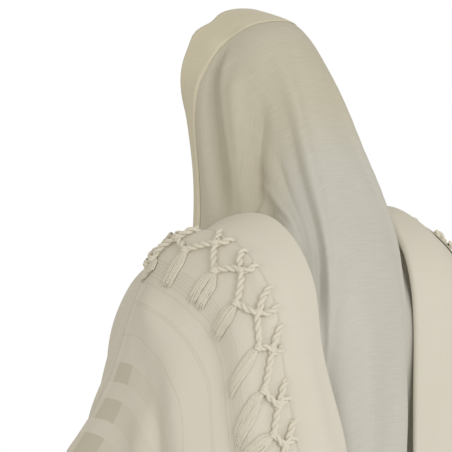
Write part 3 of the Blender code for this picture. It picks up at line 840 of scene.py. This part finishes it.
def fringe(side, right):
    """One turned end's knotted fringe, as a joined mesh."""
    rng = np.random.default_rng(41 + right)
    turned = sides[side]["turned"]
    bed = fall(lifted(turned, CLOTH + 0.2 * MM), FRINGE_REACH, FRINGE_PULL)
    up = normals(bed)
    edge_far = arc_lengths(bed, 0)[:, 0]
    yarn = Yarn()

    def drawn(low, high):
        """A length drawn from between two, which are in millimetres."""
        return rng.uniform(low, high) * MM

    def lay(edge, far, height):
        """Points over the bed: a place along the edge, a distance from it, and a height."""
        i = np.interp(edge, edge_far, np.arange(len(edge_far)))
        j = np.asarray(far) / BED_STEP
        out = on_sheet(up, i, j)
        over = on_sheet(bed, i, j) + out * np.asarray(height)[..., None]
        return mirrored(over, right), mirrored(out, right)

    def run(start, end, bow, low, high):
        """A cord between two places, with some slack to one side, from knot to knot."""
        share = np.linspace(0, 1, max(8, int(abs(end[1] - start[1]) / CORD_POINT)))
        edge = start[0] + (end[0] - start[0]) * share + bow * np.sin(np.pi * share)
        far = start[1] + (end[1] - start[1]) * share
        height = low + (high - low) * share + CORD_ARCH * np.sin(np.pi * share) ** 2
        line, out = lay(edge, far, height)
        yarn.cord(line, out, CORD_PLY, CORD_PITCH, phase=rng.uniform(0, 6))

    def knot(edge, far):
        """Two turns of cord drawn tight across the place where cords meet."""
        ends, out = lay([edge, edge], [far - KNOT_HALF, far + KNOT_HALF], [KNOT_HEIGHT] * 2)
        yarn.wrap(ends[0], ends[1], out[0], KNOT_RADIUS, KNOT_PLY, KNOT_TURNS)
        core = np.linspace(ends[0], ends[1], len(KNOT_CORE))
        yarn.strand(core, np.broadcast_to(out[0], core.shape), KNOT_CORE, 8)

    length = edge_far[-1]
    units = int(length / FRINGE_UNIT)
    first = []
    for k in range(units):
        edge = (k + 0.5) * length / units + drawn(-8, 8)
        far = FIRST_KNOT + drawn(-6, 7)
        first.append((edge, far))
        for way in (-1, 1):
            root = edge + way * drawn(11, 17)
            run((root, -0.5 * MM), (edge, far), way * drawn(-4, 8), CORD_LOW, CORD_HIGH)
        knot(edge, far)
    for k in range(units + 1):
        near = [first[i] for i in (k - 1, k) if 0 <= i < units]
        edge = sum(place[0] for place in near) / len(near) + drawn(-6, 6)
        far = SECOND_KNOT + drawn(-9, 9)
        for place in near:
            run(place, (edge, far), np.sign(place[0] - edge) * drawn(-3, 10), CORD_HIGH, CORD_HIGH)
        knot(edge, far)
        lean, tail = rng.uniform(-0.15, 0.25), TAIL + drawn(-14, 8)
        tail = min(tail, FRINGE_REACH - far - 3 * MM) * (CORNER_TAIL if k < 2 else 1)
        wide = drawn(11, 16)
        for s in range(STRANDS):
            share = np.linspace(0, 1, 15)
            spot = (s + rng.uniform(0, 1)) / STRANDS * 2 - 1
            drop = tail * rng.uniform(0.84, 1.0) * share
            sway = drawn(0.2, 0.8) * np.sin(drop / drawn(2.4, 5) + rng.uniform(0, 6))
            across = edge + TAIL_NECK * spot + drop * lean + sway * share \
                + spot * (wide - TAIL_NECK) * smooth(-0.08, 0.4, share)
            heap = TAIL_HEAP * rng.uniform(0.1, 1) * (1 - 0.4 * share) * (1 - 0.5 * spot ** 2)
            line, out = lay(across, far + 1 * MM + drop, 1 * MM + heap)
            yarn.strand(line, out, YARN_RADIUS * (1 - 0.5 * share ** 4), 4)
    return yarn.piece(side + "_knotted_fringe", fringe_wool, [side + "_fringe"], "fringe")


fringe_wool = wool("fringe yarn", (0.91, 0.875, 0.785), (0.84, 0.80, 0.69), 2.2 * MM, 0.9, 0.3)[0]
for side, right in (("left", False), ("right", True)):
    sides[side]["fringe"] = fringe(side, right)

# %% [markdown]
# ## The corner tassels
# A hole near each corner carries a tassel of eight strings. Its upper part is five double
# knots with windings between them, and below the last knot the strings hang free. The back
# ones hang plumb below the hem. The front ones go over the turned end's corner and fall down
# the breast.

# %% Build the corner tassels
CORD_RADIUS, CORD_LENGTH, HOLE_INSET = 4 * MM, 300 * MM, 40 * MM
TASSEL_WALL = 2 * MM      # the cloth as the solids have it, under a tassel
FRINGE_WALL, GAP = 3 * MM, 0.4 * MM
KNOTS = (4, 26, 50, 76, 104)     # mm down a tassel to its double knots
WINDINGS = (7, 8, 11, 13)        # turns between them
TASSEL_STEP, EASINGS = 1.5 * MM, 30      # between its places, and rounds that ease its bends
KNOT_STEPS, LOOP = 4, 2.7 * MM           # a knot's length in steps, and its loops' radius
CORE_PLY, KNOT_CORD, WINDING, STRING_PLY = 1.1 * MM, 1.25 * MM, 0.62 * MM, 0.55 * MM
STRINGS, STRING_PITCH = 8, 5 * MM
UP_OVER, UP_HANGING = np.array([0.35, 0.25, 0.9]), np.array([0.6, 0.8, 0.05])
HANGING = 20 * MM                # this far below its top a tassel hangs


def tassel(name, route, right, slot_nodes, seed):
    """Eight strings on a route: five double knots with windings, and then free strings."""
    rng = np.random.default_rng(seed)
    line = read_at(route, arc_lengths(route), np.arange(0, CORD_LENGTH, TASSEL_STEP))
    for _ in range(EASINGS):
        line[1:-1] = (line[:-2] + 2 * line[1:-1] + line[2:]) / 4
    line = mirrored(line, right)
    up = np.broadcast_to(mirrored(UP_OVER, right), line.shape).copy()
    up[line[:, 2] < line[0, 2] - HANGING] = UP_HANGING
    yarn = Yarn()
    spots = [int(knot * MM / TASSEL_STEP) for knot in KNOTS]
    last = spots[-1]
    yarn.cord(line[:last + 2], up[:last + 2], CORE_PLY, 14 * MM, plies=3, sides=5)
    for spot in spots:
        yarn.wrap(line[spot], line[spot + KNOT_STEPS], up[spot], LOOP, KNOT_CORD, 2.6)
    for spot, low, turns in zip(spots, spots[1:], WINDINGS):
        run = line[spot + KNOT_STEPS + 1:low]
        path = read_at(run, np.arange(len(run)), np.linspace(0, len(run) - 1, turns * 10))
        side, rise = square_to(path, up[spot])
        turn = np.linspace(0, 2 * np.pi * turns, len(path))[:, None]
        yarn.strand(path + (rise * np.cos(turn) + side * np.sin(turn)) * LOOP,
                    np.gradient(path, axis=0), WINDING, 5)
    loose = line[last:]
    share = np.linspace(0, 1, len(loose))[:, None]
    for s in range(STRINGS):
        a = 2 * np.pi * s / STRINGS + rng.uniform(-0.3, 0.3)
        way = np.array([np.cos(a), np.sin(a), 0])
        drift = rng.uniform(2.2, 4.6) * MM * np.sqrt(share)
        sway = 0.8 * MM * np.sin(share * rng.uniform(9, 16) + rng.uniform(0, 6)) * share
        count = int(len(loose) * rng.uniform(0.9, 1.0))
        string = loose + way * (CORE_PLY + drift) + np.roll(way, 1) * sway
        yarn.cord(string[:count], up[last:][:count], STRING_PLY, STRING_PITCH, phase=a, sides=5)
    return yarn.piece(name, fringe_wool, slot_nodes, "tassel")


BREAST_COLUMN, BREAST_ROWS = 2 / 3, (2 / 7, 1 / 7, 0)    # shares of the lapel's width and rib
tassel_lift = TASSEL_WALL + FRINGE_WALL + 5 * GAP + CORD_RADIUS
for side, right in (("left", False), ("right", True)):
    ribs, stations = side_knots(right)
    turned, under = sides[side]["turned"], sides[side]["under"]
    raised = lifted(turned, tassel_lift)
    hole = np.interp((ribs[1] + ribs[2]) / 2, steps(ribs[1], ribs[-1], GRID), np.arange(len(turned)))
    hem = on_sheet(raised, hole, np.array(turned.shape[1] - 1.0))
    drop = np.array([0, 0, CORD_LENGTH])
    back_route = np.array([hem + np.array([0, 0, HOLE_INSET]), hem, hem - drop])
    sides[side]["back_tassel"] = tassel(side + "_back_tassel", back_route, right,
                                        [side + "_tassel_back"], 61 + right)
    corner = lifted(turned, tassel_lift + 2 * GAP)
    inner = on_sheet(corner, hole, np.array(HOLE_INSET / GRID))
    tip = on_sheet(corner, np.array(0.0), np.array(0.0))
    breast = lifted(under, TASSEL_WALL + 2 * (CORD_RADIUS + GAP))
    column = np.interp(ribs[1] * BREAST_COLUMN, steps(0, ribs[-1], GRID), np.arange(len(under)))
    falls = [on_sheet(breast, column, np.array(stations[4] * row / GRID)) for row in BREAST_ROWS]
    front_route = np.array([inner, tip, *falls, falls[-1] - drop])
    sides[side]["front_tassel"] = tassel(side + "_front_tassel", front_route, right,
                                         [side + "_tassel_front"], 71 + right)

# %% [markdown]
# ## Camera
# A long lens stands three metres off behind the wearer's left, level with the shoulders, and
# takes in the hood and the back down to the elbows.

# %% Camera
AIM = Vector((0.100, -0.007, -0.3115))
AZIMUTH, ELEVATION, DISTANCE = 133, 3, 3.0
SENSOR, LENS = 36, 161.4  # mm


def facing(aim, name, data, azimuth, elevation, distance):
    """A camera or a light that looks at a place, from so many degrees round and above it."""
    a, e = math.radians(azimuth), math.radians(elevation)
    out = Vector((math.sin(a) * math.cos(e), -math.cos(a) * math.cos(e), math.sin(e)))
    made = placed(name, data)
    made.location = aim + out * distance
    made.rotation_euler = out.to_track_quat("Z", "Y").to_euler()
    return made


camera_data = bpy.data.cameras.new("camera")
camera_data.sensor_width, camera_data.lens = SENSOR, LENS
bpy.context.scene.camera = facing(AIM, "camera", camera_data, AZIMUTH, ELEVATION, DISTANCE)

# %% [markdown]
# ## Floor and lights
# The floor is a plain pale sheet at the wearer's feet. Cream wool needs soft light: a key
# softbox to the right of the camera, two weaker ones further round, and the room itself,
# whose warm colour fills the folds. The camera sees the room as white.

# %% Floor and lights
FLOOR = -1.76             # the wearer's height under the crown
FLOOR_HALF = 3.0
FLOOR_COLOUR, ROOM_COLOUR, ROOM_STRENGTH = (0.86, 0.86, 0.85, 1), (1.0, 0.95, 0.835, 1), 0.53
LIT_PLACE = Vector((0, 0.05, -0.5))
# name, azimuth and elevation in degrees, distance in metres, size in metres, power in watts
SOFTBOXES = [
    ("key", 156, 14, 3.2, 1.2, 20),
    ("right fill", 205, 12, 3.2, 1.5, 8),
    ("left fill", 104, 10, 3.2, 1.5, 7),
]
floor_mesh = bpy.data.meshes.new("floor")
floor_mesh.from_pydata([(x * FLOOR_HALF, y * FLOOR_HALF, FLOOR)
                        for x, y in ((-1, -1), (1, -1), (1, 1), (-1, 1))], [], [(0, 1, 2, 3)])
floor_mat = bpy.data.materials.new("pale floor")
nodes_of(floor_mat)[1].inputs["Base Color"].default_value = FLOOR_COLOUR
floor_mesh.materials.append(floor_mat)
floor = placed("floor", floor_mesh)
for name, azimuth, elevation, distance, size, power in SOFTBOXES:
    light = bpy.data.lights.new(name, "AREA")
    light.shape, light.size, light.energy = "SQUARE", size, power
    facing(LIT_PLACE, name, light, azimuth, elevation, distance)
world = bpy.data.worlds.new("room")
bpy.context.scene.world = world
world.use_nodes = True
tree = world.node_tree
room = tree.nodes["Background"]
room.inputs["Color"].default_value = ROOM_COLOUR
room.inputs["Strength"].default_value = ROOM_STRENGTH
seen = add(tree, "ShaderNodeBackground", {"Color": (1, 1, 1, 1), "Strength": 1.0})
path = add(tree, "ShaderNodeLightPath")
both = add(tree, "ShaderNodeMixShader", {0: path.outputs["Is Camera Ray"],
                                         1: room.outputs[0], 2: seen.outputs[0]})
tree.links.new(both.outputs[0], tree.nodes["World Output"].inputs[0])
bpy.context.scene.view_settings.view_transform = "Standard"
